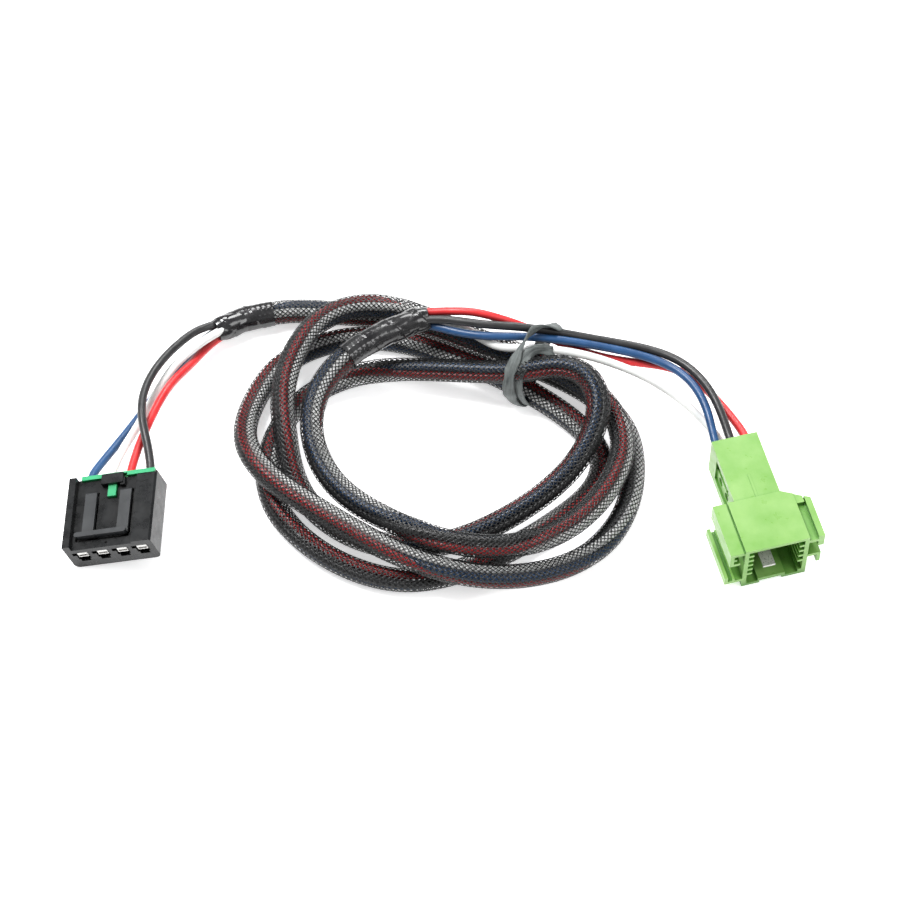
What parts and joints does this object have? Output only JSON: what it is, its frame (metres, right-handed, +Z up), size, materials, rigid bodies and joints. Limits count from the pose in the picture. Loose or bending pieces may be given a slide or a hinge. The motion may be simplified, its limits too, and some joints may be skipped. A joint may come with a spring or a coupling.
{
  "type": "trailer brake controller wiring harness",
  "caption": "Coiled braided wiring harness for a trailer brake controller, with a black socket plug and a green shrouded blade header.",
  "frame": {"origin": "on the floor that the harness lies on, under the middle of the two connectors' common box", "axes": "+X from the black plug towards the green header, +Y away from the connectors' mating faces, +Z up"},
  "size_m": [0.2402, 0.1152, 0.027],
  "materials": {
    "plug_black": "satin",
    "retainer_green": "satin",
    "header_green": "satin",
    "spacer_white": "satin",
    "tin": "satin",
    "wire_blue": "satin",
    "wire_white": "satin",
    "wire_red": "satin",
    "wire_black": "satin",
    "braid": "woven",
    "tape": "gloss",
    "tie_rubber": "matte"
  },
  "bodies": {
    "harness": {"plug_housing": "plug_black", "socket_terminal_1": "tin", "socket_terminal_2": "tin", "socket_terminal_3": "tin", "socket_terminal_4": "tin", "header_housing": "header_green", "blade_terminal_1": "tin", "blade_terminal_2": "tin", "blade_terminal_3": "tin", "blade_terminal_4": "tin", "wire_blue_plug_end": "wire_blue", "wire_white_plug_end": "wire_white", "wire_red_plug_end": "wire_red", "wire_black_plug_end": "wire_black", "wire_blue_header_end": "wire_blue", "wire_white_header_end": "wire_white", "wire_black_header_end": "wire_black", "wire_red_header_end": "wire_red", "sleeve": "braid", "tape_plug_end": "tape", "tape_header_end": "tape", "tie": "tie_rubber"},
    "latch": {"plug_latch": "plug_black"},
    "retainer": {"plug_retainer": "retainer_green"},
    "spacer": {"header_retainer": "spacer_white"}
  },
  "joints": [
    {"name": "latch_press", "type": "hinge", "parent": "harness", "child": "latch", "pos_m": [-0.10443, 0.00384, 0.01472], "axis": [0.9554, -0.0417, 0.2924], "range_deg": [0, 3.5], "stiffness_Nm_per_rad": 0.06},
    {"name": "retainer_release", "type": "slide", "parent": "harness", "child": "retainer", "axis": [0.036, 0.999, 0.025], "range_m": [0, 0.003]},
    {"name": "spacer_release", "type": "slide", "parent": "harness", "child": "spacer", "axis": [0.9659, 0.2588, 0], "range_m": [0, 0.0015]}
  ]
}
